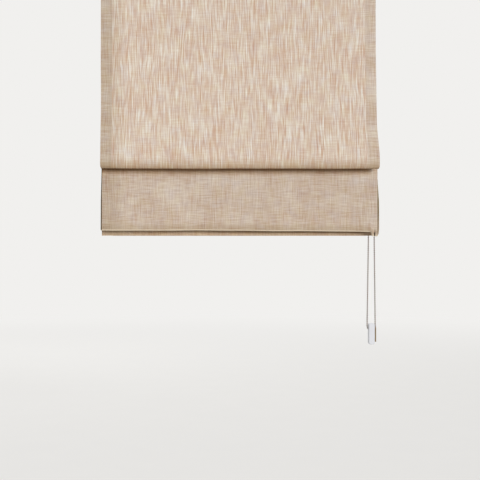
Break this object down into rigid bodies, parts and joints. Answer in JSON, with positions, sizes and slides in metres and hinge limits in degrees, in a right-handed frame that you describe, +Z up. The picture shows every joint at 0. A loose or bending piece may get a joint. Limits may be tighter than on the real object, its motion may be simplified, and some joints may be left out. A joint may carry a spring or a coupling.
{
  "type": "roman blind",
  "caption": "Flat-fold fabric window blind on a headrail, drawn up by cords on spools that a looped bead chain turns.",
  "frame": {"origin": "middle of the four bracket screw holes, on the mounting face above the headrail", "axes": "+X to the right seen from the room, +Y towards the window, +Z up, away from the blind"},
  "size_m": [0.7825, 0.0927, 1.0677],
  "materials": {
    "aluminium": "satin anodised extrusion",
    "zinc_steel": "zinc plated",
    "dark_steel": "oiled spring steel",
    "bronze_steel": "bronze lacquer, satin",
    "chain_metal": "aged nickel",
    "white_plastic": "moulded, satin",
    "dark_plastic": "moulded, matt",
    "gloss_plastic": "moulded, soft gloss",
    "linen": "slub linen weave",
    "tape": "woven tape",
    "fibreglass": "pultruded rod",
    "cord": "braided polyester"
  },
  "bodies": {
    "headrail": {"headrail": "aluminium", "bracket_left": "zinc_steel", "bracket_right": "zinc_steel", "end_cap": "white_plastic", "hook_tape": "tape", "loop_tape": "tape", "cradle_left": "white_plastic", "cradle_middle": "white_plastic", "cradle_right": "white_plastic", "drive_housing": "white_plastic", "drive_cover": "white_plastic", "cover_screws": "zinc_steel", "clutch_core": "dark_steel", "clutch_spring": "dark_steel", "bead_chain": "chain_metal", "chain_connector": "chain_metal", "holder_guide": "gloss_plastic", "holder_cover": "gloss_plastic", "holder_bracket": "bronze_steel", "cloth": "linen", "rib_top": "fibreglass", "sleeve_top": "tape", "rings_top": "white_plastic", "cord_left": "cord", "cord_middle": "cord", "cord_right": "cord"},
    "stack": {"rib_middle": "fibreglass", "rib_low": "fibreglass", "sleeve_middle": "tape", "sleeve_low": "tape", "rings_middle": "white_plastic", "rings_low": "white_plastic", "cord_stops": "white_plastic", "hem_bar": "aluminium", "bar_caps": "dark_plastic"},
    "drive": {"shaft_bush": "dark_plastic", "drive_shaft": "zinc_steel", "spool_left": "white_plastic", "spool_middle": "white_plastic", "spool_right": "white_plastic", "output_hub": "white_plastic", "chain_wheel": "white_plastic"}
  },
  "joints": [
    {"name": "lift", "type": "slide", "parent": "headrail", "child": "stack", "axis": [0, 0, 1], "range_m": [-0.06702, 0.30159], "deforming": ["cloth", "cord_left", "cord_middle", "cord_right"]},
    {"name": "drive", "type": "hinge", "parent": "headrail", "child": "drive", "pos_m": [0, 0, -0.0199], "axis": [1, 0, 0], "range_deg": [-2175, 495], "deforming": ["bead_chain"]}
  ],
  "couplings": [
    {"joint": "drive", "follows": "lift", "rad_per_m": -125}
  ]
}
